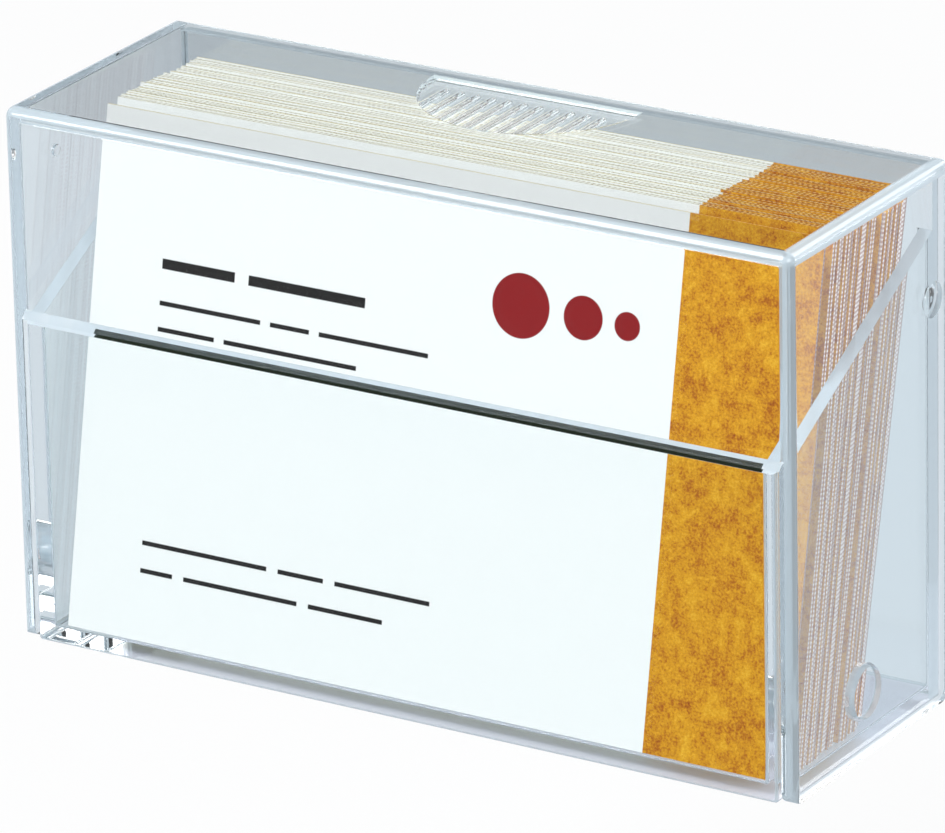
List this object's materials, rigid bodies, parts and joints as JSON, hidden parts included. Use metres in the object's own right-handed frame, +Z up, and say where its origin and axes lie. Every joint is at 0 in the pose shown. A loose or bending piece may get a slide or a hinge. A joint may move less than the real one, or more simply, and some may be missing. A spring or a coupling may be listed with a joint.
{
  "type": "business card box",
  "caption": "Clear rigid box that stands upright with a leaning stack of cards in its tray, under a lid that swings forward on moulded pins.",
  "frame": {"origin": "middle of the box's underside", "axes": "+X along the front to the viewer's right, +Y to the back, +Z up"},
  "size_m": [0.094, 0.0324, 0.0595],
  "materials": {
    "lid_plastic": "clear and polished, with a pale blue-grey tint",
    "tray_plastic": "clear and polished, with a pale blue-grey tint",
    "card_stock": "smooth matt card with a printed face"
  },
  "bodies": {
    "base": {"base_tray": "tray_plastic", "card_01": "card_stock", "card_02": "card_stock", "card_03": "card_stock", "card_04": "card_stock", "card_05": "card_stock", "card_06": "card_stock", "card_07": "card_stock", "card_08": "card_stock", "card_09": "card_stock", "card_10": "card_stock", "card_11": "card_stock", "card_12": "card_stock", "card_13": "card_stock", "card_14": "card_stock", "card_15": "card_stock", "card_16": "card_stock", "card_17": "card_stock", "card_18": "card_stock", "card_19": "card_stock", "card_20": "card_stock", "card_21": "card_stock", "card_22": "card_stock", "card_23": "card_stock", "card_24": "card_stock", "card_25": "card_stock", "card_26": "card_stock", "card_27": "card_stock", "card_28": "card_stock", "card_29": "card_stock", "card_30": "card_stock", "card_31": "card_stock", "card_32": "card_stock", "card_33": "card_stock", "card_34": "card_stock", "card_35": "card_stock", "card_36": "card_stock", "card_37": "card_stock", "card_38": "card_stock", "card_39": "card_stock", "card_40": "card_stock", "card_41": "card_stock"},
    "lid": {"lid": "lid_plastic"}
  },
  "joints": [
    {"name": "lid_hinge", "type": "hinge", "parent": "base", "child": "lid", "pos_m": [0, 0, 0.0065], "axis": [1, 0, 0], "range_deg": [0, 180]}
  ]
}
